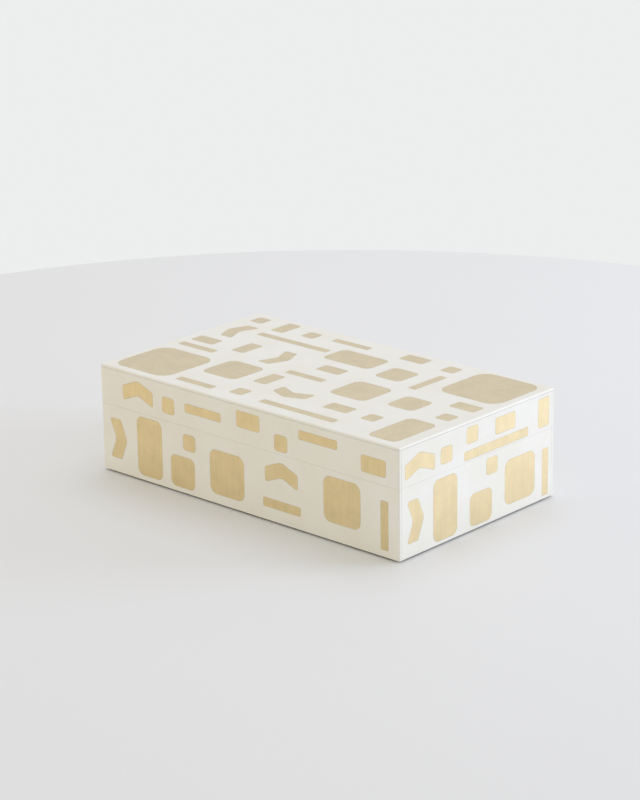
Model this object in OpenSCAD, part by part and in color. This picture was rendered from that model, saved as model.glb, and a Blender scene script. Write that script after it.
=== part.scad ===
// Inlaid wooden box: a shallow hinged box with a mitred wooden carcass, faced with ivory resin
// sheet that has brass pieces set flush in it. It is lined with velvet, stands on felt, and its
// lid turns on two brass hinges that stop it a little past upright.
// Millimetres, +Z up. The origin is the middle of the underside, the long front faces -Y, and
// the hinges are along the back, +Y.

/* [Box] */
// Length over the facing
box_length = 305; // [250:1:420]
// Depth over the facing, from front to back
box_depth = 178.5; // [140:0.5:260]
// Height of the base, from the bottom edge of its walls to its rim
base_height = 54.2; // [40:0.1:100]
// Height of the lid, from its rim to its top
lid_height = 31.2; // [26:0.1:60]
// Gap between the two rims when the box is shut
rim_gap = 0.1; // [0.05:0.05:0.4]

/* [Wooden carcass] */
// Thickness of the side walls
wall = 9; // [8:0.5:12]
// Thickness of the bottom panel and of the lid's top panel
panel = 6; // [4:0.5:9]
// How far a panel is let into the walls
housing = 4; // [2:0.5:6]

/* [Facing] */
// Thickness of the resin sheets on the four sides
side_sheet = 2.5; // [1.5:0.1:4]
// Thickness of the resin sheet on the lid's top
top_sheet = 1.8; // [1.5:0.1:4]
// Radius worked on the outer corners of the facing
arris = 1.2; // [0.4:0.1:1.4]
// Open joint where two sheets meet at a corner
sheet_joint = 0.2; // [0.05:0.05:0.4]
// Gap between a brass piece and the edge of its opening in the sheet
inlay_gap = 0.12; // [0.05:0.01:0.3]

/* [Inlay kit, in cells of the pattern grid] */
// Side of the small square
small_side = 5.1; // [4:0.1:6]
// Side of the medium square
medium_side = 10; // [8:0.1:11]
// Side of the large square
large_side = 14; // [12:0.1:15]
// Side of the great square
great_side = 22.4; // [20:0.1:23]
// Length of the block
block_length = 9.2; // [8:0.1:10]
// Width of the block
block_width = 5.1; // [4:0.1:6]
// Length of the slab
slab_length = 18.9; // [17:0.1:19.5]
// Width of the slab
slab_width = 10.6; // [9:0.1:11.5]
// Length of the short bar
bar_length = 14.8; // [13:0.1:16]
// Length of the long bar
rod_length = 29.2; // [26:0.1:30]
// Width of both bars
bar_width = 2.8; // [2:0.1:3.4]
// Length of the bent piece, end to end
bend_length = 12.8; // [11:0.1:13.5]
// Width of the bent piece, measured square to its length
bend_width = 4.7; // [4:0.1:5.2]
// Height of the bent piece's point above its ends
bend_rise = 2.6; // [2:0.1:3]

/* [Hinges] */
// Distance from each end of the box to the middle of its hinge
hinge_from_end = 76; // [50:1:100]
// Length of each hinge along the pin
hinge_length = 33; // [27:1:45]
// Thickness of each leaf
leaf = 1; // [0.8:0.1:1.5]
// Reach of each leaf from the pin over the rim
leaf_reach = 10.4; // [9.5:0.1:10.6]
// Outer radius of the knuckles
knuckle_r = 2.5; // [2:0.1:3]
// Radius of the pin
pin_r = 1.2; // [0.8:0.1:1.4]
// Running clearance between the pin and the lid's knuckle
pin_play = 0.06; // [0.02:0.01:0.1]
// Clearance round and between the knuckles
knuckle_gap = 0.3; // [0.2:0.05:0.5]
// Radial thickness of the stop jaws
jaw = 2.4; // [1.5:0.1:3.5]
// Angle at which the jaws meet
stop_angle = 95.5; // [90:0.5:110]
// Shank radius of the leaf screws
screw_r = 1.1; // [0.8:0.1:1.3]
// Head radius of the leaf screws
screw_head_r = 2; // [1.7:0.1:2.2]
// Length of the leaf screws
screw_length = 9; // [6:0.5:12]
// Distance between the two screws of a leaf
screw_spacing = 20; // [16:0.5:22]

/* [Lining] */
// Thickness of the velvet covered boards that line the walls
lining = 2; // [1.2:0.1:3]
// How far the lining boards stop short of the rim
lining_drop = 1.5; // [0.5:0.1:4]
// Thickness of the pad on the floor of the base
floor_pad = 5; // [3:0.5:10]
// Thickness of the pad under the top of the lid
ceiling_pad = 4; // [3:0.5:8]
// Radius of the pads' upper edges
pad_round = 1.5; // [0.5:0.1:2.5]
// Gap between neighbouring pieces of the lining
lining_gap = 0.2; // [0.1:0.05:0.5]

/* [Underside] */
// Thickness of the felt
felt = 1.5; // [0.6:0.1:3]
// How far the felt's edge is set in from the facing
felt_inset = 2; // [1:0.5:10]
// Corner radius of the felt
felt_round = 3; // [1:0.5:8]

/* [Hidden] */
$fn = 48;

// Heights
base_rim = felt + base_height;
lid_rim = base_rim + rim_gap;
lid_top = lid_rim + lid_height;
carcass_top = lid_top - top_sheet;
floor_z = felt + panel;
ceiling_z = carcass_top - panel;

// Clear plan inside the wooden walls
inner_length = box_length - 2 * (side_sheet + wall);
inner_depth = box_depth - 2 * (side_sheet + wall);

// Pin axis: in the plane of the back face, halfway between the rims
axis_y = box_depth / 2;
axis_z = (base_rim + lid_rim) / 2;
hinge_x = box_length / 2 - hinge_from_end;
knuckle = hinge_length / 3;
jaw_r = knuckle_r + knuckle_gap + jaw;

// How far a tool cuts past the face that it starts from
over = 1;

ivory = [0.92, 0.90, 0.84];
brass = [0.80, 0.67, 0.42];
wood = [0.66, 0.49, 0.33];
velvet = [0.55, 0.47, 0.40];
felt_colour = [0.20, 0.18, 0.17];

// ---------------------------------------------------------------- pattern of the inlay

// The pattern is laid out on a grid of cells that fills each face: cells along the length,
// along the depth, up the base and up the lid
COLUMNS_LONG = 120;
COLUMNS_END = 70;
ROWS_BASE = 21.5;
ROWS_LID = 12.5;
top_cell = [box_length / COLUMNS_LONG, box_depth / COLUMNS_END];
long_base_cell = [box_length / COLUMNS_LONG, base_height / ROWS_BASE];
long_lid_cell = [box_length / COLUMNS_LONG, lid_height / ROWS_LID];
end_base_cell = [box_depth / COLUMNS_END, base_height / ROWS_BASE];
end_lid_cell = [box_depth / COLUMNS_END, lid_height / ROWS_LID];

// Each piece: its kind, the column and row of its middle, and its quarter turns to the left
TOP = [
    ["great", 13.5, 14, 0], ["great", 106, 57, 0],
    ["large", 35.5, 21.5, 0], ["large", 78.5, 31, 0],
    ["medium", 97, 31.5, 0], ["medium", 76.5, 49.5, 0],
    ["slab", 57, 53, 0], ["slab", 110.5, 12.5, 1],
    ["small", 6.5, 64, 0], ["small", 30, 62.5, 0], ["small", 86, 63.5, 0],
    ["small", 113, 29, 0], ["small", 97, 15, 0], ["small", 51.5, 8, 0],
    ["block", 8, 38, 0], ["block", 71, 64.5, 0], ["block", 58.5, 40.5, 0],
    ["block", 111.5, 39.5, 0], ["block", 84, 15.5, 0],
    ["block", 18.5, 63, 1], ["block", 23.5, 40, 1], ["block", 50, 22, 1],
    ["bar", 46, 63.5, 0], ["bar", 11, 31, 0], ["bar", 56.5, 31, 0],
    ["bar", 35.5, 5.5, 0], ["bar", 88.5, 49.5, 1],
    ["rod", 30.5, 53.5, 0], ["rod", 76.5, 6, 0],
    ["bend", 8.5, 51, 1], ["bend", 38.5, 39, 3], ["bend", 64.5, 16, 2],
];
LONG_LID = [
    ["bend", 16, 6.5, 0], ["small", 29, 5, 0], ["bar", 43.5, 6, 0], ["block", 62, 7.5, 0],
    ["small", 75, 3.5, 0], ["bar", 89.5, 8, 0], ["block", 110.5, 5, 0],
];
LONG_BASE = [
    ["bend", 7, 11, 3], ["slab", 20.5, 11, 1], ["small", 37.5, 16.5, 0],
    ["medium", 34.5, 6.5, 0], ["large", 53, 10, 0], ["bend", 75, 15.5, 0],
    ["bar", 75, 5.5, 0], ["large", 98.5, 12.5, 0], ["bar", 114.5, 9.5, 1],
];
END_LID = [
    ["bend", 9, 5.5, 0], ["small", 20.5, 5, 0], ["small", 32, 8, 0],
    ["rod", 43, 2, 0], ["block", 47, 7.5, 0], ["block", 65, 6, 1],
];
END_BASE = [
    ["bend", 7, 10.5, 3], ["slab", 20, 10.5, 1], ["medium", 36, 6, 0],
    ["small", 41, 17.5, 0], ["large", 54, 10, 0], ["bar", 66, 8.5, 1],
];

// Kit of straight pieces: length, width and corner radius, in cells
function kit(kind) =
    kind == "small" ? [small_side, small_side, 1] :
    kind == "medium" ? [medium_side, medium_side, 2] :
    kind == "large" ? [large_side, large_side, 2.6] :
    kind == "great" ? [great_side, great_side, 4.6] :
    kind == "block" ? [block_length, block_width, 0.8] :
    kind == "slab" ? [slab_length, slab_width, 2.3] :
    kind == "bar" ? [bar_length, bar_width, 0.4] :
    [rod_length, bar_width, 0.4];

// To the nearest micrometre, so that straight edges run exactly into their arcs
function micron(v) = round(v * 1000) / 1000;

// Flat rectangle with rounded corners, centred
module tile(l, w, r) {
    half = [micron(l / 2), micron(w / 2)];
    round_r = micron(r);
    square(2 * [half[0] - round_r, half[1]], center = true);
    square(2 * [half[0], half[1] - round_r], center = true);
    for (s = [-1, 1], q = [-1, 1])
        translate([s * (half[0] - round_r), q * (half[1] - round_r)]) circle(round_r);
}

function heading(a, b) = (b - a) / norm(b - a);

// Corner b of an outline that comes from a and goes on to c, moved outwards by g
function moved_out(a, b, c, g) =
    let (u = heading(a, b), v = heading(b, c), out = [u[1] + v[1], -u[0] - v[0]])
    b + out * g / (1 + u * v);

// Points of the arc of radius r that rounds corner b
function corner_arc(a, b, c, r) =
    let (
        u = heading(b, a), v = heading(b, c), half = acos(u * v) / 2,
        middle = b + (u + v) / norm(u + v) * r / sin(half),
        from = b + u * r / tan(half) - middle,
        sweep = (cross(v, u) > 0 ? 1 : -1) * (180 - 2 * half),
        start = atan2(from[1], from[0]),
        steps = max(4, ceil(abs(sweep) * r / 90))
    )
    [for (i = [0 : steps]) let (t = start + sweep * i / steps) middle + r * [cos(t), sin(t)]];

// Flat bar that rises to a point at its middle, centred: l long, w wide measured upright,
// rise high from its ends to its point, the whole outline moved outwards by g
module bent_tile(l, w, rise, r_end, r_point, g) {
    h = (w + rise) / 2;
    outline = [
        [-l / 2, -h], [0, rise - h], [l / 2, -h], [l / 2, w - h], [0, h], [-l / 2, w - h],
    ];
    radii = [r_end + g, r_point - g, r_end + g, r_end + g, r_point + g, r_end + g];
    n = len(outline);
    grown = [for (i = [0 : n - 1])
        moved_out(outline[(i + n - 1) % n], outline[i], outline[(i + 1) % n], g)];
    polygon([for (i = [0 : n - 1])
        each corner_arc(grown[(i + n - 1) % n], grown[i], grown[(i + 1) % n], radii[i])]);
}

// One piece of the kit, lying along the grid, grown by g all round
module piece(kind, cell, g) {
    round_cell = min(cell);
    k = kit(kind);
    if (kind == "bend")
        bent_tile(bend_length * cell[0], bend_width * cell[1], bend_rise * cell[1],
            0.6 * round_cell, 3 * round_cell, g);
    else
        tile(k[0] * cell[0] + 2 * g, k[1] * cell[1] + 2 * g, k[2] * round_cell + g);
}

// All pieces of a layout, grown by g
module pattern(layout, cell, g) {
    for (p = layout)
        translate([p[1] * cell[0], p[2] * cell[1]]) rotate(90 * p[3])
            piece(p[0], p[3] % 2 == 0 ? cell : [cell[1], cell[0]], g);
}

// ---------------------------------------------------------------- sides of the box

function is_long(side) = side == "front" || side == "back";
function span(side) = is_long(side) ? box_length : box_depth;
function quarter(side) = search([side], ["front", "right", "back", "left"])[0];

// Turns a shape made for the front to any side: x runs along the side from its middle as seen
// from outside, y runs inwards from a plane that lies inset behind the outer face
module on_side(side, inset = 0) {
    reach = (is_long(side) ? box_depth : box_length) / 2 - inset;
    rotate([0, 0, 90 * quarter(side)]) translate([0, -reach, 0]) children();
}

// Stands a flat drawing up on a side, t thick inwards from its outer face, at height z
module stood_up(side, z, t) {
    on_side(side) translate([-span(side) / 2, t, z]) rotate([90, 0, 0])
        linear_extrude(t) children();
}

// Plate, centred in plan, with rounded corners and rounded upper edges
module soft_topped(l, w, t, r) {
    intersection() {
        union() {
            linear_extrude(t - r) tile(l, w, r);
            translate([0, 0, t / 2]) cube([l - 2 * r, w - 2 * r, t], center = true);
            for (s = [-1, 1]) {
                translate([0, s * (w / 2 - r), t - r]) rotate([0, 90, 0])
                    cylinder(h = l - 2 * r, r = r, center = true);
                translate([s * (l / 2 - r), 0, t - r]) rotate([90, 0, 0])
                    cylinder(h = w - 2 * r, r = r, center = true);
                for (q = [-1, 1])
                    translate([s * (l / 2 - r), q * (w / 2 - r), t - r]) sphere(r);
            }
        }
        translate([0, 0, t]) cube([2 * l, 2 * w, 2 * t], center = true);
    }
}

// ---------------------------------------------------------------- hinge

// Puts a hinge's parts at both hinges or at one
module at_hinge(s) {
    translate([s * hinge_x, axis_y, axis_z]) children();
}

// Cylinder along the pin, over one stretch of it
module along_pin(from, to, r) {
    translate([from, 0, 0]) rotate([0, 90, 0]) cylinder(h = to - from, r = r);
}

// The n-th third of the hinge, longer at both ends by grow
module knuckle_third(n, r, grow) {
    along_pin((n - 1.5) * knuckle - grow, (n - 0.5) * knuckle + grow, r);
}

// Sector behind the pin, on the leaf's own side of the stop, out to radius r
module jaw_sector(r, from, to) {
    far = 2 * r;
    intersection() {
        along_pin(from, to, r);
        translate([from, 0, 0]) rotate([90, 0, 90]) linear_extrude(to - from)
            polygon([[0, 0], [far * cos(stop_angle / 2), far * sin(stop_angle / 2)], [0, far]]);
    }
}

// Places of a leaf's screws, at the surface that meets the other leaf
module at_screws() {
    for (s = [-1, 1])
        translate([s * screw_spacing / 2, -side_sheet - wall / 2, rim_gap / 2]) children();
}

// The lid's leaf, seated above the pin, with the knuckles named in own
module lid_side_leaf(own, bore_r) {
    others = [for (n = [0 : 2]) if (len([for (k = own) if (k == n) k]) == 0) n];
    end = hinge_length / 2;
    difference() {
        union() {
            translate([-end, -leaf_reach, rim_gap / 2])
                cube([hinge_length, leaf_reach, leaf]);
            difference() {
                jaw_sector(jaw_r, -end, end);
                along_pin(-end - over, end + over, knuckle_r + knuckle_gap);
            }
            for (n = own) {
                knuckle_third(n, knuckle_r, -knuckle_gap / 2);
                jaw_sector(jaw_r, (n - 1.5) * knuckle + knuckle_gap / 2,
                    (n - 0.5) * knuckle - knuckle_gap / 2);
            }
        }
        for (n = others) knuckle_third(n, knuckle_r + knuckle_gap, knuckle_gap / 2);
        along_pin(-end - over, end + over, bore_r);
        at_screws() {
            translate([0, 0, -over]) cylinder(h = leaf + 2 * over, r = screw_r);
            cylinder(h = screw_head_r - screw_r, r1 = screw_head_r, r2 = screw_r);
        }
    }
}

// The same leaf turned over, for the base
module base_side_leaf(own, bore_r) {
    mirror([0, 0, 1]) lid_side_leaf(own, bore_r);
}

// A countersunk screw that points up into the lid
module leaf_screw() {
    slot = [2 * screw_head_r, 0.5, 0.8];
    difference() {
        union() {
            cylinder(h = screw_head_r - screw_r, r1 = screw_head_r, r2 = screw_r);
            cylinder(h = screw_length, r = screw_r);
        }
        cube(slot, center = true);
    }
}

// What the hinges take out of the back walls and their facing, in lid and base alike
module hinge_room() {
    end = hinge_length / 2 + knuckle_gap;
    for (s = [-1, 1]) at_hinge(s) {
        along_pin(-end, end, knuckle_r + knuckle_gap);
        translate([-hinge_length / 2, -leaf_reach, -rim_gap / 2 - leaf])
            cube([hinge_length, leaf_reach, 2 * leaf + rim_gap]);
        for (m = [0, 1]) mirror([0, 0, m]) at_screws()
            cylinder(h = screw_length, r = screw_r);
    }
}

// ---------------------------------------------------------------- pieces used more than once

// Wooden wall with mitred ends
module mitred_wall(side, z, height) {
    half = span(side) / 2 - side_sheet;
    difference() {
        on_side(side, side_sheet) translate([0, 0, z]) linear_extrude(height)
            polygon([[-half, 0], [half, 0], [half - wall, wall], [wall - half, wall]]);
        base_panel_blank();
        lid_panel_blank();
        if (side == "back") hinge_room();
    }
}

// Panel let into the walls all round, from height z up
module panel_blank(z) {
    translate([0, 0, z + panel / 2])
        cube([inner_length + 2 * housing, inner_depth + 2 * housing, panel], center = true);
}

module base_panel_blank() {
    panel_blank(felt);
}

module lid_panel_blank() {
    panel_blank(ceiling_z);
}

// Resin sheet of one side, height tall from z up, with an opening for every piece of the
// layout. The front and back sheets cover the ends of the other two
module side_facing(side, z, height, layout, cell) {
    start = is_long(side) ? 0 : side_sheet + sheet_joint;
    difference() {
        stood_up(side, z, side_sheet) difference() {
            translate([start, 0]) square([span(side) - 2 * start, height]);
            pattern(layout, cell, inlay_gap);
        }
        if (is_long(side)) for (s = [0, 1]) on_side(side) mirror([s, 0, 0])
            translate([-box_length / 2, 0, z - over]) corner_waste(height + 2 * over);
        if (side == "back") hinge_room();
    }
}

// Wood outside a rounded upright corner
module corner_waste(height) {
    linear_extrude(height) difference() {
        translate([-over, -over]) square(arris + over);
        translate([arris, arris]) circle(arris);
    }
}

// Brass pieces of one side, flush with the facing
module side_inlays(side, z, layout, cell) {
    color(brass) stood_up(side, z, side_sheet) pattern(layout, cell, 0);
}

// Velvet covered board against a wall, from its plain edge up to its rounded edge
module lining_board(side, height) {
    run = is_long(side) ? inner_length : inner_depth - 2 * (lining + lining_gap);
    on_side(side, side_sheet + wall) translate([-run / 2, 0, 0]) rotate([90, 0, 90])
        linear_extrude(run) {
            square([lining, height - lining / 2]);
            translate([lining / 2, height - lining / 2]) circle(lining / 2);
        }
}

module base_lining(side) {
    color(velvet) translate([0, 0, floor_z])
        lining_board(side, base_rim - lining_drop - floor_z);
}

module lid_lining(side) {
    color(velvet) translate([0, 0, ceiling_z]) mirror([0, 0, 1])
        lining_board(side, ceiling_z - lid_rim - lining_drop);
}

// Pad that fills the plan between the lining boards
module pad(thickness) {
    margin = lining + lining_gap;
    color(velvet)
        soft_topped(inner_length - 2 * margin, inner_depth - 2 * margin, thickness, pad_round);
}

module base_facing(side, layout, cell) {
    color(ivory) side_facing(side, felt, base_height, layout, cell);
}

module lid_facing(side, layout, cell) {
    color(ivory)
        side_facing(side, lid_rim, lid_height - top_sheet - sheet_joint, layout, cell);
}

// ---------------------------------------------------------------- base

module base_front_wall() {
    color(wood) mitred_wall("front", felt, base_height);
}

module base_back_wall() {
    color(wood) mitred_wall("back", felt, base_height);
}

module base_left_wall() {
    color(wood) mitred_wall("left", felt, base_height);
}

module base_right_wall() {
    color(wood) mitred_wall("right", felt, base_height);
}

module base_bottom_panel() {
    color(wood) base_panel_blank();
}

module base_front_sheet() {
    base_facing("front", LONG_BASE, long_base_cell);
}

module base_back_sheet() {
    base_facing("back", LONG_BASE, long_base_cell);
}

module base_left_sheet() {
    base_facing("left", END_BASE, end_base_cell);
}

module base_right_sheet() {
    base_facing("right", END_BASE, end_base_cell);
}

module base_front_inlays() {
    side_inlays("front", felt, LONG_BASE, long_base_cell);
}

module base_back_inlays() {
    side_inlays("back", felt, LONG_BASE, long_base_cell);
}

module base_left_inlays() {
    side_inlays("left", felt, END_BASE, end_base_cell);
}

module base_right_inlays() {
    side_inlays("right", felt, END_BASE, end_base_cell);
}

module base_floor_pad() {
    translate([0, 0, floor_z]) pad(floor_pad);
}

module base_front_lining() {
    base_lining("front");
}

module base_back_lining() {
    base_lining("back");
}

module base_left_lining() {
    base_lining("left");
}

module base_right_lining() {
    base_lining("right");
}

module underside_felt() {
    color(felt_colour) linear_extrude(felt)
        tile(box_length - 2 * felt_inset, box_depth - 2 * felt_inset, felt_round);
}

module left_hinge_base_leaf() {
    color(brass) at_hinge(-1) base_side_leaf([0, 2], pin_r);
}

module right_hinge_base_leaf() {
    color(brass) at_hinge(1) base_side_leaf([0, 2], pin_r);
}

module left_hinge_pin() {
    color(brass) at_hinge(-1) along_pin(-hinge_length / 2, hinge_length / 2, pin_r);
}

module right_hinge_pin() {
    color(brass) at_hinge(1) along_pin(-hinge_length / 2, hinge_length / 2, pin_r);
}

module base_hinge_screws() {
    color(brass) for (s = [-1, 1]) at_hinge(s) mirror([0, 0, 1]) at_screws() leaf_screw();
}

// ---------------------------------------------------------------- lid

module lid_front_wall() {
    color(wood) mitred_wall("front", lid_rim, carcass_top - lid_rim);
}

module lid_back_wall() {
    color(wood) mitred_wall("back", lid_rim, carcass_top - lid_rim);
}

module lid_left_wall() {
    color(wood) mitred_wall("left", lid_rim, carcass_top - lid_rim);
}

module lid_right_wall() {
    color(wood) mitred_wall("right", lid_rim, carcass_top - lid_rim);
}

module lid_top_panel() {
    color(wood) lid_panel_blank();
}

module lid_top_sheet() {
    color(ivory) translate([0, 0, carcass_top]) difference() {
        soft_topped(box_length, box_depth, top_sheet, arris);
        translate([-box_length / 2, -box_depth / 2, -over])
            linear_extrude(top_sheet + 2 * over) pattern(TOP, top_cell, inlay_gap);
    }
}

module lid_top_inlays() {
    color(brass) translate([-box_length / 2, -box_depth / 2, carcass_top])
        linear_extrude(top_sheet) pattern(TOP, top_cell, 0);
}

module lid_front_sheet() {
    lid_facing("front", LONG_LID, long_lid_cell);
}

module lid_back_sheet() {
    lid_facing("back", LONG_LID, long_lid_cell);
}

module lid_left_sheet() {
    lid_facing("left", END_LID, end_lid_cell);
}

module lid_right_sheet() {
    lid_facing("right", END_LID, end_lid_cell);
}

module lid_front_inlays() {
    side_inlays("front", lid_rim, LONG_LID, long_lid_cell);
}

module lid_back_inlays() {
    side_inlays("back", lid_rim, LONG_LID, long_lid_cell);
}

module lid_left_inlays() {
    side_inlays("left", lid_rim, END_LID, end_lid_cell);
}

module lid_right_inlays() {
    side_inlays("right", lid_rim, END_LID, end_lid_cell);
}

module lid_ceiling_pad() {
    translate([0, 0, ceiling_z]) mirror([0, 0, 1]) pad(ceiling_pad);
}

module lid_front_lining() {
    lid_lining("front");
}

module lid_back_lining() {
    lid_lining("back");
}

module lid_left_lining() {
    lid_lining("left");
}

module lid_right_lining() {
    lid_lining("right");
}

module left_hinge_lid_leaf() {
    color(brass) at_hinge(-1) lid_side_leaf([1], pin_r + pin_play);
}

module right_hinge_lid_leaf() {
    color(brass) at_hinge(1) lid_side_leaf([1], pin_r + pin_play);
}

module lid_hinge_screws() {
    color(brass) for (s = [-1, 1]) at_hinge(s) at_screws() leaf_screw();
}

base_front_wall();
base_back_wall();
base_left_wall();
base_right_wall();
base_bottom_panel();
base_front_sheet();
base_back_sheet();
base_left_sheet();
base_right_sheet();
base_front_inlays();
base_back_inlays();
base_left_inlays();
base_right_inlays();
base_floor_pad();
base_front_lining();
base_back_lining();
base_left_lining();
base_right_lining();
underside_felt();
left_hinge_base_leaf();
right_hinge_base_leaf();
left_hinge_pin();
right_hinge_pin();
base_hinge_screws();
lid_front_wall();
lid_back_wall();
lid_left_wall();
lid_right_wall();
lid_top_panel();
lid_top_sheet();
lid_top_inlays();
lid_front_sheet();
lid_back_sheet();
lid_left_sheet();
lid_right_sheet();
lid_front_inlays();
lid_back_inlays();
lid_left_inlays();
lid_right_inlays();
lid_ceiling_pad();
lid_front_lining();
lid_back_lining();
lid_left_lining();
lid_right_lining();
left_hinge_lid_leaf();
right_hinge_lid_leaf();
lid_hinge_screws();
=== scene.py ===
"""Inlaid box: finishes, velvet lining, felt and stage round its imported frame.

Run as a script. Everything is in metres and in the frame's own axes: +Z up, the long front
faces -Y, the hinges are along the back, and the lid turns up about their pins.
"""

import math

import bmesh
import bpy
import numpy as np
from bpy.props import FloatProperty, FloatVectorProperty, IntProperty, PointerProperty
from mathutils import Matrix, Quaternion, Vector, noise


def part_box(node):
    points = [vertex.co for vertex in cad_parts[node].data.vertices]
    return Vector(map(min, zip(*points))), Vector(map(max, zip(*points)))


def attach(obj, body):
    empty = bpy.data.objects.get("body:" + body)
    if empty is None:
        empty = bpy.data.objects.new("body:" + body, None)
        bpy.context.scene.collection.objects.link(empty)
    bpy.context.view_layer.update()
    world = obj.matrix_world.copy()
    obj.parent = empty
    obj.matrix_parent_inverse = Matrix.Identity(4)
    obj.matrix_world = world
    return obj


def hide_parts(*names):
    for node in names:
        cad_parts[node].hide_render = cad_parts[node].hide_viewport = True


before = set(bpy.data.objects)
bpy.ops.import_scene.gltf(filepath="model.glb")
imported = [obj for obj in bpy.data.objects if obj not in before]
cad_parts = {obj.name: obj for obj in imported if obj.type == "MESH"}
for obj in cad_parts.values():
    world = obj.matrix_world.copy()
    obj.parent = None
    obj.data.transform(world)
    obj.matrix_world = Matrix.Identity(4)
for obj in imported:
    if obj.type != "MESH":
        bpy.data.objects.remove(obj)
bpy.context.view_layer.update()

bl_info = {
    "name": "Inlaid box",
    "version": (1, 0, 0),
    "blender": (4, 5, 0),
    "location": "3D View > Sidebar > Inlaid box",
    "description": "Finishes, lining and stage of a hinged box that is inlaid with brass",
    "category": "Object",
}

MM = 0.001
SIDES = ("front", "back", "left", "right")
HALVES = ("base", "lid")

# How far the middle of a quarter round lies inside its corner, in radii
CORNER_CUT = 1 - math.sqrt(0.5)
# Width of the worn patches on the hinges
WORN_PATCH = 5 * MM
# Colour that the tips of the velvet's pile catch, and of the clouds in the table's stone
PILE_TIP = "#D8C8B4"
STONE_CLOUD = "#B8BDC2"

# Rounding of the upper rims of the pads and of the lining boards
PAD_EDGE = 1.0 * MM
BOARD_EDGE = 0.6 * MM
# How much thinner the lid's pad is than the floor's before it swells, and how much less it rises
CEILING_THINNER = 0.8 * MM
CEILING_CALMER = 0.3 * MM
# How much smaller than its room a soft piece starts, and what it leaves free there at its end
START_SPARE = 0.03 * MM
END_SPARE = 0.02 * MM
# Height and length of the waves in a skin before it swells, and the pressure that swells it
WAVE_HEIGHT = 0.12 * MM
WAVE_LENGTH = 17 * MM
PRESSURE = 4.0
# Mesh, rim and corners of the felt
FELT_CELL = 8 * MM
FELT_EDGE = 0.3 * MM
FELT_CORNER = 3 * MM

# The table top: its middle, thickness, bevel, the steps round it and the size of its clouds
TABLE_MIDDLE = (0.021, -0.027, 0)
TABLE_THICK = 20 * MM
TABLE_BEVEL = 4 * MM
TABLE_STEPS = 160
TABLE_CLOUD = 1 / 3
# Each lamp: its name, place, width, the setting of its power, and its colour
LAMPS = (
    ("window_lamp", (1.5, 1.6, 0.4), 1.0, "window_power", "#DBE4FF"),
    ("overhead_lamp", (-0.1, 0.7, 2.1), 1.6, "overhead_power", "#E6E8FF"),
    ("fill_lamp", (-1.45, -1.6, 0.38), 1.2, "fill_power", "#FFCE5F"),
)
# The camera: its place, the way it looks and how far it leans over, in degrees
CAMERA_PLACE = (1.3098, -1.4325, 0.7189)
CAMERA_AHEAD = (-0.64075, 0.69866, -0.31829)
CAMERA_LEAN = -0.8


def hex_colour(text):
    """An sRGB colour written #RRGGBB as linear red, green and blue, with full alpha."""
    parts = [int(text[i : i + 2], 16) / 255 for i in (1, 3, 5)]
    linear = [p / 12.92 if p <= 0.04045 else ((p + 0.055) / 1.055) ** 2.4 for p in parts]
    return (*linear, 1.0)


def colour(name, description, value):
    """A colour property, with its default written #RRGGBB."""
    return FloatVectorProperty(
        name=name, description=description, subtype="COLOR", size=4, min=0, max=1,
        default=hex_colour(value),
    )


def length(name, description, default, low, high):
    """A length property, with its default and its limits in millimetres."""
    return FloatProperty(
        name=name, description=description, unit="LENGTH", precision=5,
        default=default * MM, min=low * MM, max=high * MM,
    )


# ---------------------------------------------------------------- what a user may change


class BoxColours(bpy.types.PropertyGroup):
    """Colours of the box's finishes"""

    resin: colour("Resin", "Ivory resin of the facing", "#EFEDE4")
    resin_cloud: colour("Resin cloud", "Warmer drifts in the resin", "#ECE9DC")
    brass: colour("Brass", "Inlaid brass where it is clean", "#E2D0A3")
    tarnish: colour("Tarnish", "Inlaid brass where it has dulled", "#D5C497")
    # Painted reflection: the top's brass and its dull patches take greyer colours than the sides,
    # standing in for the greyer light that the flat top reflects
    top_brass_painted_reflection: colour(
        "Top brass", "Inlaid brass of the top, greyer than on the sides", "#D7C8A6")
    top_tarnish_painted_reflection: colour(
        "Top tarnish", "Inlaid brass of the top where it has dulled", "#CBBD9A")
    hinge_brass: colour("Hinge brass", "Brass of the hinges and screws", "#E4CE9C")
    wood: colour("Wood", "Early wood of the carcass", "#B98E62")
    grain: colour("Grain", "Late wood and pores of the carcass", "#7F5636")
    velvet: colour("Velvet", "Pile of the velvet seen straight on", "#8A7663")
    nap: colour("Nap", "Pile of the velvet where it is brushed the other way", "#6E5C4C")
    felt: colour("Felt", "Felt of the underside", "#241F1C")
    felt_fibre: colour("Felt fibre", "Paler fibres in the felt", "#413933")


class BoxSizes(bpy.types.PropertyGroup):
    """Sizes of the soft pieces and of the patterns in the finishes"""

    cushion_skin: length("Pad thickness", "Pads before they swell", 3.2, 1.5, 4)
    cushion_rise: length("Pad rise", "Most that the pads swell", 1.7, 0.3, 3)
    cushion_cell: length("Pad mesh", "Size of the mesh of the pads", 4.5, 3, 10)
    board_skin: length("Board thickness", "Lining boards before they swell", 1.7, 0.8, 1.9)
    board_rise: length("Board rise", "Most that the lining boards swell", 0.4, 0.1, 1)
    board_cell: length("Board mesh", "Size of the mesh of the lining boards", 4, 3, 10)
    resin_drift: length("Resin drift", "Width of the cloudy drifts in the resin", 42, 10, 100)
    sanding_wave: length("Sanding wave", "Width of the waves left by sanding", 26, 5, 60)
    patina_patch: length("Patina patch", "Width of the dull patches on the brass", 13, 3, 40)
    sanding_streak: length("Sanding streak", "Width of the streaks on the brass", 2.2, 0.5, 8)
    buffing_mark: length("Buffing mark", "Width of the fine marks of buffing", 0.8, 0.2, 3)
    grain_width: length("Grain width", "Width of one streak of the grain", 2.6, 0.5, 8)
    grain_length: length("Grain length", "Length of one streak of the grain", 70, 10, 200)
    pile_tuft: length("Pile tuft", "Width of one tuft of the pile", 0.7, 0.3, 2)
    nap_patch: length("Nap patch", "Width of the patches where the pile leans", 9, 4, 80)
    fibre: length("Fibre", "Width of the fibres in the felt", 0.5, 0.2, 2)


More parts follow.
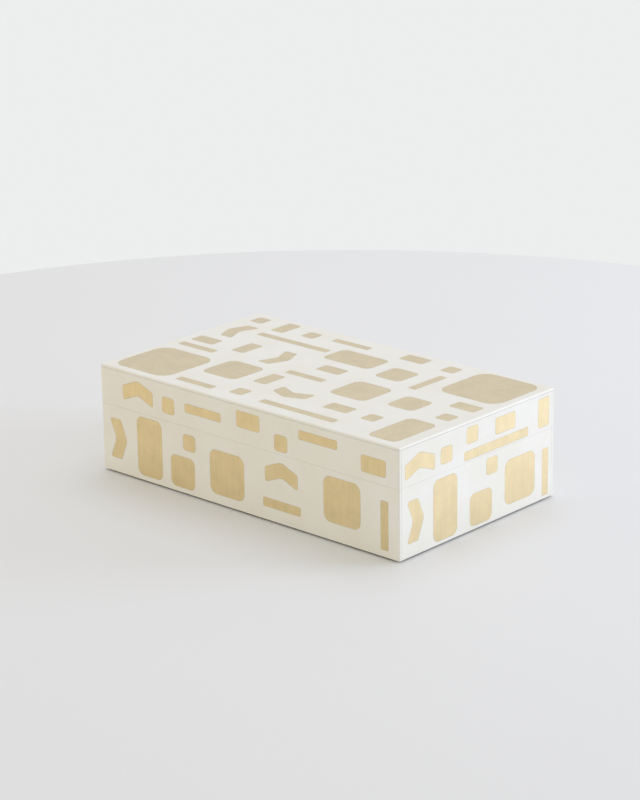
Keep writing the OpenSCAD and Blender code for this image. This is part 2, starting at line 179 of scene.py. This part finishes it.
class BoxStage(bpy.types.PropertyGroup):
    """Table top, backdrop, lamps and camera"""

    table: colour("Table", "Plain pale table top", "#EAEAE8")
    backdrop: colour("Backdrop", "What the camera sees behind the table", "#EDEEEE")
    ambient: colour("Ambient", "Light from all round", "#FFFFFC")
    ambient_level: FloatProperty(
        name="Ambient level", description="Strength of the light from all round",
        default=0.69, min=0, max=1)
    table_radius: length("Table radius", "Radius of the round table top", 714, 400, 2000)
    window_power: FloatProperty(
        name="Window", description="Power of the large lamp on the right",
        default=28.2, min=0, unit="POWER")
    overhead_power: FloatProperty(
        name="Overhead", description="Power of the soft lamp above and behind the box",
        default=11.9, min=0, unit="POWER")
    fill_power: FloatProperty(
        name="Fill", description="Power of the warm lamp on the front left",
        default=5.9, min=0, unit="POWER")
    lens: FloatProperty(
        name="Lens", description="Focal length on a sensor 36 mm along the longer side",
        default=120.57, min=20, max=300, unit="CAMERA")
    frames: IntProperty(
        name="Frames", description="Frames over which the soft pieces swell",
        default=20, min=5, max=60)


class BoxSettings(bpy.types.PropertyGroup):
    """All settings of the inlaid box"""

    colours: PointerProperty(type=BoxColours)
    sizes: PointerProperty(type=BoxSizes)
    stage: PointerProperty(type=BoxStage)


# ---------------------------------------------------------------- helpers


def settings():
    return bpy.context.scene.inlaid_box


def put(tree, kind, sockets=None, **attributes):
    """Adds a shader node with its attributes. sockets gives each input, by name or number, its
    value or the output that feeds it."""
    node = tree.nodes.new("ShaderNode" + kind)
    for name, value in attributes.items():
        setattr(node, name, value)
    for key, value in (sockets or {}).items():
        if isinstance(value, bpy.types.NodeSocket):
            tree.links.new(value, node.inputs[key])
        else:
            node.inputs[key].default_value = value
    return node


def empty_material(name):
    """A material without nodes, and its node tree."""
    material = bpy.data.materials.new(name)
    material.use_nodes = True
    material.node_tree.nodes.clear()
    return material, material.node_tree


def finish_nodes(names, material):
    """Gives CAD nodes their finish."""
    for name in names:
        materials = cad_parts[name].data.materials
        materials.clear()
        materials.append(material)


def per(size):
    """Noise scale at which one patch of the pattern is about this wide."""
    return 1 / size


# ---------------------------------------------------------------- finishes


def cast_resin():
    """Polyester resin, cast as sheet, sanded flush with the brass and buffed to a low satin. It
    is ivory with faint warmer drifts, and the low waves of hand sanding break its gloss."""
    c, s = settings().colours, settings().sizes
    material, tree = empty_material("cast_ivory_resin_buffed")
    place = put(tree, "TexCoord").outputs["Object"]
    drift = put(tree, "TexNoise", {
        "Vector": place, "Scale": per(s.resin_drift), "Detail": 3, "Roughness": 0.55})
    drifted = put(tree, "MapRange", {
        "Value": drift.outputs[0], "From Min": 0.38, "From Max": 0.66})
    tint = put(tree, "Mix", {0: drifted.outputs[0], 6: c.resin, 7: c.resin_cloud},
               data_type="RGBA")
    wave = put(tree, "TexNoise", {
        "Vector": place, "Scale": per(s.sanding_wave), "Detail": 2})
    haze = put(tree, "TexNoise", {
        "Vector": place, "Scale": per(4 * s.buffing_mark), "Detail": 3, "Roughness": 0.6})
    rough = put(tree, "MapRange", {
        "Value": haze.outputs[0], "From Min": 0.3, "From Max": 0.7,
        "To Min": 0.42, "To Max": 0.54})
    bump = put(tree, "Bump", {
        "Height": wave.outputs[0], "Strength": 0.5, "Distance": 0.25 * MM})
    shader = put(tree, "BsdfPrincipled", {
        "Base Color": tint.outputs[2], "Roughness": rough.outputs[0],
        "Normal": bump.outputs[0], "IOR": 1.54})
    put(tree, "OutputMaterial", {"Surface": shader.outputs[0]})
    return material


def sheet_brass(name, clean, tarnish):
    """Rolled brass, cut out, glued in, sanded flush and lacquered. Sanding leaves it matt, with
    faint upright streaks on the sides, and it has dulled in soft patches. The top's copy is given
    greyer colours, a painted reflection of the greyer light that the flat top reflects."""
    s = settings().sizes
    material, tree = empty_material(name)
    place = put(tree, "TexCoord").outputs["Object"]
    patina = put(tree, "TexNoise", {
        "Vector": place, "Scale": per(s.patina_patch), "Detail": 4, "Roughness": 0.6,
        "Distortion": 0.4})
    lines = put(tree, "Mapping", {"Vector": place, "Scale": (1.0, 1.0, 0.06)})
    streak = put(tree, "TexNoise", {
        "Vector": lines.outputs[0], "Scale": per(s.sanding_streak), "Detail": 2})
    mixed = put(tree, "Mix", {0: 0.35, 2: patina.outputs[0], 3: streak.outputs[0]})
    dull = put(tree, "MapRange", {
        "Value": mixed.outputs[0], "From Min": 0.34, "From Max": 0.68})
    tint = put(tree, "Mix", {0: dull.outputs[0], 6: clean, 7: tarnish}, data_type="RGBA")
    marks = put(tree, "TexNoise", {
        "Vector": place, "Scale": per(s.buffing_mark), "Detail": 3, "Roughness": 0.7})
    rough = put(tree, "MapRange", {
        "Value": marks.outputs[0], "From Min": 0.3, "From Max": 0.7,
        "To Min": 0.4, "To Max": 0.54})
    wave = put(tree, "TexNoise", {
        "Vector": place, "Scale": per(0.7 * s.patina_patch), "Detail": 1})
    bump = put(tree, "Bump", {
        "Height": wave.outputs[0], "Strength": 0.6, "Distance": 0.12 * MM})
    fine = put(tree, "Bump", {
        "Height": marks.outputs[0], "Normal": bump.outputs[0], "Strength": 0.25,
        "Distance": 0.02 * MM})
    shader = put(tree, "BsdfPrincipled", {
        "Base Color": tint.outputs[2], "Metallic": 1.0, "Roughness": rough.outputs[0],
        "Normal": fine.outputs[0], "Coat Weight": 0.8, "Coat Roughness": 0.5})
    put(tree, "OutputMaterial", {"Surface": shader.outputs[0]})
    return material


def hinge_brass():
    """Rolled and drawn brass, tumbled to a soft polish. It is brighter than the inlay, and fine
    rubbed marks break up its reflections."""
    c, s = settings().colours, settings().sizes
    material, tree = empty_material("hinge_brass_tumbled")
    place = put(tree, "TexCoord").outputs["Object"]
    rub = put(tree, "TexNoise", {
        "Vector": place, "Scale": per(s.buffing_mark), "Detail": 3, "Roughness": 0.6})
    rough = put(tree, "MapRange", {
        "Value": rub.outputs[0], "From Min": 0.3, "From Max": 0.7,
        "To Min": 0.28, "To Max": 0.4})
    worn = put(tree, "TexNoise", {
        "Vector": place, "Scale": per(WORN_PATCH), "Detail": 3})
    dull = put(tree, "MapRange", {
        "Value": worn.outputs[0], "From Min": 0.45, "From Max": 0.75, "To Max": 0.6})
    tint = put(tree, "Mix", {0: dull.outputs[0], 6: c.hinge_brass, 7: c.tarnish},
               data_type="RGBA")
    bump = put(tree, "Bump", {
        "Height": rub.outputs[0], "Strength": 0.12, "Distance": 0.02 * MM})
    shader = put(tree, "BsdfPrincipled", {
        "Base Color": tint.outputs[2], "Metallic": 1.0, "Roughness": rough.outputs[0],
        "Normal": bump.outputs[0]})
    put(tree, "OutputMaterial", {"Surface": shader.outputs[0]})
    return material


def oiled_wood(name, along):
    """Mango wood, planed, sanded and oiled, with its grain along one axis. Long streaks of late
    wood and short dark pores run with the grain, and the oil gives it a low sheen."""
    c, s = settings().colours, settings().sizes
    material, tree = empty_material(name)
    place = put(tree, "TexCoord").outputs["Object"]
    stretch = [1.0, 1.0, 1.0]
    stretch[along] = s.grain_width / s.grain_length
    lines = put(tree, "Mapping", {"Vector": place, "Scale": stretch})
    streak = put(tree, "TexNoise", {
        "Vector": lines.outputs[0], "Scale": per(s.grain_width), "Detail": 4,
        "Roughness": 0.55, "Distortion": 0.5})
    late = put(tree, "MapRange", {
        "Value": streak.outputs[0], "From Min": 0.35, "From Max": 0.7, "To Max": 0.75})
    pore = put(tree, "TexNoise", {
        "Vector": lines.outputs[0], "Scale": per(0.25 * s.grain_width), "Detail": 2})
    dark = put(tree, "MapRange", {
        "Value": pore.outputs[0], "From Min": 0.6, "From Max": 0.72, "To Max": 0.7})
    ground = put(tree, "Mix", {0: late.outputs[0], 6: c.wood, 7: c.grain}, data_type="RGBA")
    tint = put(tree, "Mix", {0: dark.outputs[0], 6: ground.outputs[2], 7: c.grain},
               data_type="RGBA")
    bump = put(tree, "Bump", {
        "Height": pore.outputs[0], "Strength": 0.3, "Distance": -0.05 * MM})
    rough = put(tree, "MapRange", {
        "Value": streak.outputs[0], "From Min": 0.3, "From Max": 0.7,
        "To Min": 0.42, "To Max": 0.56})
    shader = put(tree, "BsdfPrincipled", {
        "Base Color": tint.outputs[2], "Roughness": rough.outputs[0],
        "Normal": bump.outputs[0], "IOR": 1.5})
    put(tree, "OutputMaterial", {"Surface": shader.outputs[0]})
    return material


def cotton_velvet():
    """Cotton velvet, woven with a short cut pile. The pile leans in patches that look lighter or
    darker, and its tips catch light where the cloth turns away. Real tufts are 0.2 mm wide, and
    these are drawn coarser so that they show. Pads and lining boards share one such velvet."""
    made = bpy.data.materials.get("cotton_velvet_short_pile")
    if made:
        return made
    c, s = settings().colours, settings().sizes
    material, tree = empty_material("cotton_velvet_short_pile")
    place = put(tree, "TexCoord").outputs["Object"]
    lean = put(tree, "TexNoise", {
        "Vector": place, "Scale": per(s.nap_patch), "Detail": 2, "Roughness": 0.5,
        "Distortion": 0.3})
    leaning = put(tree, "MapRange", {
        "Value": lean.outputs[0], "From Min": 0.36, "From Max": 0.66, "To Max": 0.4})
    pile = put(tree, "TexNoise", {
        "Vector": place, "Scale": per(s.pile_tuft), "Detail": 2, "Roughness": 0.7})
    tuft = put(tree, "MapRange", {
        "Value": pile.outputs[0], "From Min": 0.35, "From Max": 0.65, "To Max": 0.45})
    nap = put(tree, "Mix", {0: leaning.outputs[0], 6: c.velvet, 7: c.nap}, data_type="RGBA")
    tint = put(tree, "Mix", {0: tuft.outputs[0], 6: nap.outputs[2], 7: c.nap},
               data_type="RGBA")
    bump = put(tree, "Bump", {
        "Height": pile.outputs[0], "Strength": 0.5, "Distance": 0.3 * MM})
    shader = put(tree, "BsdfPrincipled", {
        "Base Color": tint.outputs[2], "Roughness": 0.95, "Normal": bump.outputs[0],
        "Sheen Weight": 0.55, "Sheen Roughness": 0.4, "Sheen Tint": hex_colour(PILE_TIP)})
    put(tree, "OutputMaterial", {"Surface": shader.outputs[0]})
    return material


def wool_felt():
    """Wool felt, matted and pressed. It is dark and quite matt, with paler fibres that lie every
    way. Real fibres are far finer, and these are as coarse as they need to be to show."""
    c, s = settings().colours, settings().sizes
    material, tree = empty_material("wool_felt_pressed")
    place = put(tree, "TexCoord").outputs["Object"]
    matted = put(tree, "TexNoise", {
        "Vector": place, "Scale": per(s.fibre), "Detail": 4, "Roughness": 0.75,
        "Distortion": 2.5})
    fibres = put(tree, "MapRange", {
        "Value": matted.outputs[0], "From Min": 0.5, "From Max": 0.7})
    tint = put(tree, "Mix", {0: fibres.outputs[0], 6: c.felt, 7: c.felt_fibre},
               data_type="RGBA")
    bump = put(tree, "Bump", {
        "Height": matted.outputs[0], "Strength": 0.6, "Distance": 0.2 * MM})
    shader = put(tree, "BsdfPrincipled", {
        "Base Color": tint.outputs[2], "Roughness": 1.0, "Normal": bump.outputs[0],
        "Sheen Weight": 0.2, "Sheen Roughness": 0.6})
    put(tree, "OutputMaterial", {"Surface": shader.outputs[0]})
    return material


def honed_stone():
    """Pale stone, sawn and honed. It is plain and matt, with clouds that hardly show."""
    material, tree = empty_material("honed_stone_table_top")
    place = put(tree, "TexCoord").outputs["Object"]
    clouds = put(tree, "TexNoise", {
        "Vector": place, "Scale": per(TABLE_CLOUD), "Detail": 4})
    faint = put(tree, "MapRange", {
        "Value": clouds.outputs[0], "From Min": 0.3, "From Max": 0.7, "To Max": 0.03})
    tint = put(tree, "Mix", {
        0: faint.outputs[0], 6: settings().stage.table, 7: hex_colour(STONE_CLOUD)},
               data_type="RGBA")
    shader = put(tree, "BsdfPrincipled", {
        "Base Color": tint.outputs[2], "Roughness": 0.6, "IOR": 1.5})
    put(tree, "OutputMaterial", {"Surface": shader.outputs[0]})
    return material


# ---------------------------------------------------------------- soft pieces


def slab(name, run, breadth, thick, cell, edge, corner=0.0):
    """Closed slab of square cells, run by breadth, centred, flat on height 0. Its upper rim is
    rounded by edge, and its upright corners are pulled in to a radius of corner."""
    columns, rows = max(2, round(run / cell)), max(2, round(breadth / cell))
    loop = (
        [(i, 0) for i in range(columns)] + [(columns, j) for j in range(rows)]
        + [(columns - i, rows) for i in range(columns)] + [(0, rows - j) for j in range(rows)]
    )
    tuck = corner * CORNER_CUT
    bm = bmesh.new()

    def point(i, j, inset, height):
        x = (run - 2 * inset) * (i / columns - 0.5)
        y = (breadth - 2 * inset) * (j / rows - 0.5)
        if i in (0, columns) and j in (0, rows):
            x, y = x - math.copysign(tuck, x), y - math.copysign(tuck, y)
        return bm.verts.new((x, y, height))

    levels = [
        (edge, thick), (edge * CORNER_CUT, thick - edge * CORNER_CUT), (0.0, thick - edge),
        (0.0, 0.0),
    ]
    grids = {}
    for inset, height in (levels[0], levels[-1]):
        grids[height] = {
            (i, j): point(i, j, inset, height)
            for i in range(columns + 1) for j in range(rows + 1)
        }
    for grid in grids.values():
        for i in range(columns):
            for j in range(rows):
                bm.faces.new(
                    [grid[i, j], grid[i + 1, j], grid[i + 1, j + 1], grid[i, j + 1]])
    rings = [[grids[thick][k] for k in loop]]
    rings += [[point(*k, inset, height) for k in loop] for inset, height in levels[1:-1]]
    rings += [[grids[0.0][k] for k in loop]]
    for upper, lower in zip(rings, rings[1:]):
        for n in range(len(loop)):
            m = (n + 1) % len(loop)
            bm.faces.new([upper[n], upper[m], lower[m], lower[n]])
    bmesh.ops.recalc_face_normals(bm, faces=bm.faces)
    mesh = bpy.data.meshes.new(name)
    bm.to_mesh(mesh)
    bm.free()
    piece = bpy.data.objects.new(name, mesh)
    bpy.context.scene.collection.objects.link(piece)
    return piece


def points_of(mesh):
    """The places of a mesh's vertices, one row each."""
    co = np.empty(3 * len(mesh.vertices))
    mesh.vertices.foreach_get("co", co)
    return co.reshape(-1, 3)


def set_points(mesh, co):
    mesh.vertices.foreach_set("co", co.ravel())
    mesh.update()


def lie_against(piece, node, axis, way):
    """Moves a slab into the room of a CAD node. Its height runs along the axis, towards way, 1
    or -1, and its flat back lies on the side of the node's box that is away from there."""
    low, high = (np.array(corner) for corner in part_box(node))
    local = points_of(piece.data)
    world = np.empty_like(local)
    across = [k for k in range(3) if k != axis]
    for source, k in enumerate(across):
        world[:, k] = (low[k] + high[k]) / 2 + local[:, source]
    world[:, axis] = (low[axis] if way > 0 else high[axis]) + way * local[:, 2]
    set_points(piece.data, world)
    bm = bmesh.new()
    bm.from_mesh(piece.data)
    bmesh.ops.recalc_face_normals(bm, faces=bm.faces)
    bm.to_mesh(piece.data)
    bm.free()


def soft_slab(name, node, axis, way, thick, cell, edge):
    """A slab in the room of a soft CAD node, a little smaller than it all round, so that it can
    swell. Its back is held, as it is glued there."""
    low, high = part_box(node)
    run, breadth = (high[k] - low[k] - 2 * START_SPARE for k in range(3) if k != axis)
    piece = slab(name, run, breadth, thick, cell, edge)
    held = piece.vertex_groups.new(name="held")
    held.add([v.index for v in piece.data.vertices if v.co.z < thick / 4], 1.0, "REPLACE")
    lie_against(piece, node, axis, way)
    return piece


def swell(pieces, reach):
    """Blows the pieces up as a cloth skin under light pressure. No point ends more than reach
    from its start, and none leaves the room of the CAD node that the piece stands for."""
    start = [points_of(piece.data) for piece in pieces]
    for piece, co in zip(pieces, start):
        wave = [WAVE_HEIGHT * noise.noise(Vector(p) * per(WAVE_LENGTH)) for p in co]
        free = np.array([0.0 if v.groups else 1.0 for v in piece.data.vertices])
        set_points(piece.data, co + (np.array(wave) * free)[:, None])
        cloth = piece.modifiers.new("skin", "CLOTH")
        cloth.settings.quality = 5
        cloth.settings.mass = 0.2
        cloth.settings.use_pressure = True
        cloth.settings.uniform_pressure_force = PRESSURE
        cloth.settings.effector_weights.gravity = 0.0
        cloth.settings.vertex_group_mass = "held"
    for number in range(1, settings().stage.frames + 1):
        bpy.context.scene.frame_set(number)
    graph = bpy.context.evaluated_depsgraph_get()
    blown = [points_of(piece.evaluated_get(graph).data) for piece in pieces]
    for piece, co, end in zip(pieces, start, blown):
        piece.modifiers.remove(piece.modifiers["skin"])
        moved = end - co
        far = np.linalg.norm(moved, axis=1, keepdims=True)
        kept = reach * (1 - np.exp(-far / reach)) / np.maximum(far, 1e-12)
        low, high = (np.array(corner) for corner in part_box(piece["room"]))
        set_points(piece.data, np.clip(co + moved * kept, low + END_SPARE, high - END_SPARE))
    bpy.context.scene.frame_set(1)


def velvet_group(places, thick, cell, edge, rise):
    """Makes, swells, covers and seats velvet pieces of one kind. places gives each piece's name,
    the CAD node that it stands for, its body, the axis that it faces along and which way."""
    pieces = []
    for name, node, _, axis, way in places:
        piece = soft_slab(name, node, axis, way, thick, cell, edge)
        piece["room"] = node
        pieces.append(piece)
    swell(pieces, rise)
    for piece, (_, node, body, _, _) in zip(pieces, places):
        piece.data.materials.append(cotton_velvet())
        piece.data.shade_smooth()
        piece.modifiers.new("smooth", "SUBSURF").render_levels = 1
        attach(piece, body)
        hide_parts(node)


# ---------------------------------------------------------------- operators


class BOX_OT_resin_sheets(bpy.types.Operator):
    """Finish the facing sheets and the top sheet as buffed ivory resin"""

    bl_idname = "inlaid_box.resin_sheets"
    bl_label = "Resin sheets"

    def execute(self, context):
        names = [f"{half}_{side}_sheet" for half in HALVES for side in SIDES]
        finish_nodes([*names, "lid_top_sheet"], cast_resin())
        return {"FINISHED"}


class BOX_OT_brass_inlays(bpy.types.Operator):
    """Finish the inlaid pieces as sanded and lacquered sheet brass"""

    bl_idname = "inlaid_box.brass_inlays"
    bl_label = "Brass inlays"

    def execute(self, context):
        c = settings().colours
        names = [f"{half}_{side}_inlays" for half in HALVES for side in SIDES]
        finish_nodes(names, sheet_brass("sheet_brass_sanded_and_lacquered", c.brass, c.tarnish))
        # The top's inlays take the greyer colours, a painted reflection
        finish_nodes(["lid_top_inlays"], sheet_brass(
            "sheet_brass_sanded_and_greyed", c.top_brass_painted_reflection, c.top_tarnish_painted_reflection))
        return {"FINISHED"}


class BOX_OT_carcass(bpy.types.Operator):
    """Finish the wooden walls and panels, with the grain along each of them"""

    bl_idname = "inlaid_box.carcass"
    bl_label = "Wooden carcass"

    def execute(self, context):
        lengthwise = oiled_wood("oiled_mango_wood_grain_along_the_length", 0)
        crosswise = oiled_wood("oiled_mango_wood_grain_along_the_depth", 1)
        for half in HALVES:
            finish_nodes([f"{half}_front_wall", f"{half}_back_wall"], lengthwise)
            finish_nodes([f"{half}_left_wall", f"{half}_right_wall"], crosswise)
        finish_nodes(["base_bottom_panel", "lid_top_panel"], lengthwise)
        return {"FINISHED"}


class BOX_OT_hinges(bpy.types.Operator):
    """Finish the leaves, pins and screws of both hinges"""

    bl_idname = "inlaid_box.hinges"
    bl_label = "Hinges"

    def execute(self, context):
        names = [f"{half}_hinge_screws" for half in HALVES]
        for end in ("left", "right"):
            names += [f"{end}_hinge_{part}" for part in ("base_leaf", "lid_leaf", "pin")]
        finish_nodes(names, hinge_brass())
        return {"FINISHED"}


class BOX_OT_pads(bpy.types.Operator):
    """Make the padded floor of the base and the padded ceiling of the lid"""

    bl_idname = "inlaid_box.pads"
    bl_label = "Velvet pads"

    def execute(self, context):
        s = settings().sizes
        velvet_group(
            [("floor_cushion", "base_floor_pad", "base", 2, 1)],
            s.cushion_skin, s.cushion_cell, PAD_EDGE, s.cushion_rise)
        velvet_group(
            [("ceiling_cushion", "lid_ceiling_pad", "lid", 2, -1)],
            s.cushion_skin - CEILING_THINNER, s.cushion_cell, PAD_EDGE,
            s.cushion_rise - CEILING_CALMER)
        return {"FINISHED"}


class BOX_OT_lining_boards(bpy.types.Operator):
    """Make the velvet covered boards that line the walls"""

    bl_idname = "inlaid_box.lining_boards"
    bl_label = "Lining boards"

    def execute(self, context):
        s = settings().sizes
        facing = {"front": (1, 1), "back": (1, -1), "left": (0, 1), "right": (0, -1)}
        places = [
            (f"{half}_{side}_velvet_board", f"{half}_{side}_lining", half, *facing[side])
            for half in HALVES for side in SIDES
        ]
        velvet_group(
            places, s.board_skin, s.board_cell, BOARD_EDGE, s.board_rise)
        return {"FINISHED"}


class BOX_OT_felt(bpy.types.Operator):
    """Make the felt that is glued to the underside"""

    bl_idname = "inlaid_box.felt"
    bl_label = "Underside felt"

    def execute(self, context):
        low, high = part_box("underside_felt")
        run, breadth, thick = high - low
        piece = slab("felt_foot", run, breadth, thick, FELT_CELL, FELT_EDGE, FELT_CORNER)
        lie_against(piece, "underside_felt", 2, 1)
        piece.data.materials.append(wool_felt())
        piece.data.shade_smooth()
        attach(piece, "base")
        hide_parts("underside_felt")
        return {"FINISHED"}


class BOX_OT_stage(bpy.types.Operator):
    """Make the round table top, the white backdrop, the lamps and the camera"""

    bl_idname = "inlaid_box.stage"
    bl_label = "Stage"

    def execute(self, context):
        scene, stage = context.scene, settings().stage
        scene.view_settings.view_transform = "Standard"
        self.table_top(scene, stage)
        self.world(scene, stage)
        for name, place, width, power, tint in LAMPS:
            self.lamp(scene, name, Vector(place), width, getattr(stage, power), tint)
        self.camera(scene, stage)
        return {"FINISHED"}

    def table_top(self, scene, stage):
        bm = bmesh.new()
        radius = stage.table_radius
        profile = [
            (0.0, 0.0), (radius - TABLE_BEVEL, 0.0), (radius, -TABLE_BEVEL),
            (radius, -TABLE_THICK), (0.0, -TABLE_THICK),
        ]
        line = [bm.verts.new((x, 0, z)) for x, z in profile]
        edges = [bm.edges.new(pair) for pair in zip(line, line[1:])]
        bmesh.ops.spin(
            bm, geom=line + edges, cent=(0, 0, 0), axis=(0, 0, 1), angle=2 * math.pi,
            steps=TABLE_STEPS, use_merge=True)
        bmesh.ops.remove_doubles(bm, verts=bm.verts, dist=1e-5)
        bmesh.ops.recalc_face_normals(bm, faces=bm.faces)
        mesh = bpy.data.meshes.new("table_top")
        bm.to_mesh(mesh)
        bm.free()
        table = bpy.data.objects.new("table_top", mesh)
        table.location = TABLE_MIDDLE
        mesh.materials.append(honed_stone())
        scene.collection.objects.link(table)

    def world(self, scene, stage):
        """White to the camera and in reflections, and a plain soft light to the rest."""
        scene.world = bpy.data.worlds.new("pale_room")
        scene.world.use_nodes = True
        tree = scene.world.node_tree
        tree.nodes.clear()
        ray = put(tree, "LightPath")
        seen = put(tree, "Math", {
            0: ray.outputs["Is Camera Ray"], 1: ray.outputs["Is Glossy Ray"]},
            operation="MAXIMUM")
        seen = put(tree, "Math", {
            0: seen.outputs[0], 1: ray.outputs["Is Transmission Ray"]}, operation="MAXIMUM")
        lit = put(tree, "Background", {
            "Color": stage.ambient, "Strength": stage.ambient_level})
        white = put(tree, "Background", {"Color": stage.backdrop, "Strength": 1.0})
        either = put(tree, "MixShader", {
            0: seen.outputs[0], 1: lit.outputs[0], 2: white.outputs[0]})
        put(tree, "OutputWorld", {"Surface": either.outputs[0]})

    def lamp(self, scene, name, place, width, power, tint):
        """A square lamp that shines on the middle of the box's underside."""
        data = bpy.data.lights.new(name, "AREA")
        data.shape = "SQUARE"
        data.size = width
        data.energy = power
        data.color = hex_colour(tint)[:3]
        lamp = bpy.data.objects.new(name, data)
        lamp.location = place
        lamp.rotation_mode = "QUATERNION"
        lamp.rotation_quaternion = (-place).to_track_quat("-Z", "Y")
        lamp.visible_camera = False
        scene.collection.objects.link(lamp)

    def camera(self, scene, stage):
        data = bpy.data.cameras.new("camera")
        data.lens = stage.lens
        data.sensor_width = 36
        data.clip_start = 0.1
        camera = bpy.data.objects.new("camera", data)
        camera.location = CAMERA_PLACE
        ahead = Vector(CAMERA_AHEAD).to_track_quat("-Z", "Y")
        lean = Quaternion((0, 0, 1), math.radians(CAMERA_LEAN))
        camera.rotation_mode = "QUATERNION"
        camera.rotation_quaternion = ahead @ lean
        scene.collection.objects.link(camera)
        scene.camera = camera


OPERATORS = (
    BOX_OT_resin_sheets,
    BOX_OT_brass_inlays,
    BOX_OT_carcass,
    BOX_OT_hinges,
    BOX_OT_pads,
    BOX_OT_lining_boards,
    BOX_OT_felt,
    BOX_OT_stage,
)


class BOX_PT_panel(bpy.types.Panel):
    """Pieces and settings of the inlaid box"""

    bl_idname = "BOX_PT_panel"
    bl_label = "Inlaid box"
    bl_space_type = "VIEW_3D"
    bl_region_type = "UI"
    bl_category = "Inlaid box"

    def draw(self, context):
        for operator in OPERATORS:
            self.layout.operator(operator.bl_idname)
        groups = settings()
        for group in (groups.colours, groups.sizes, groups.stage):
            box = self.layout.box()
            for name in group.__annotations__:
                box.prop(group, name)


CLASSES = (BoxColours, BoxSizes, BoxStage, BoxSettings, *OPERATORS, BOX_PT_panel)


def register():
    for cls in CLASSES:
        bpy.utils.register_class(cls)
    bpy.types.Scene.inlaid_box = PointerProperty(type=BoxSettings)


def unregister():
    del bpy.types.Scene.inlaid_box
    for cls in reversed(CLASSES):
        bpy.utils.unregister_class(cls)


def main():
    register()
    for operator in OPERATORS:
        group, name = operator.bl_idname.split(".")
        getattr(getattr(bpy.ops, group), name)()


if __name__ == "__main__":
    main()
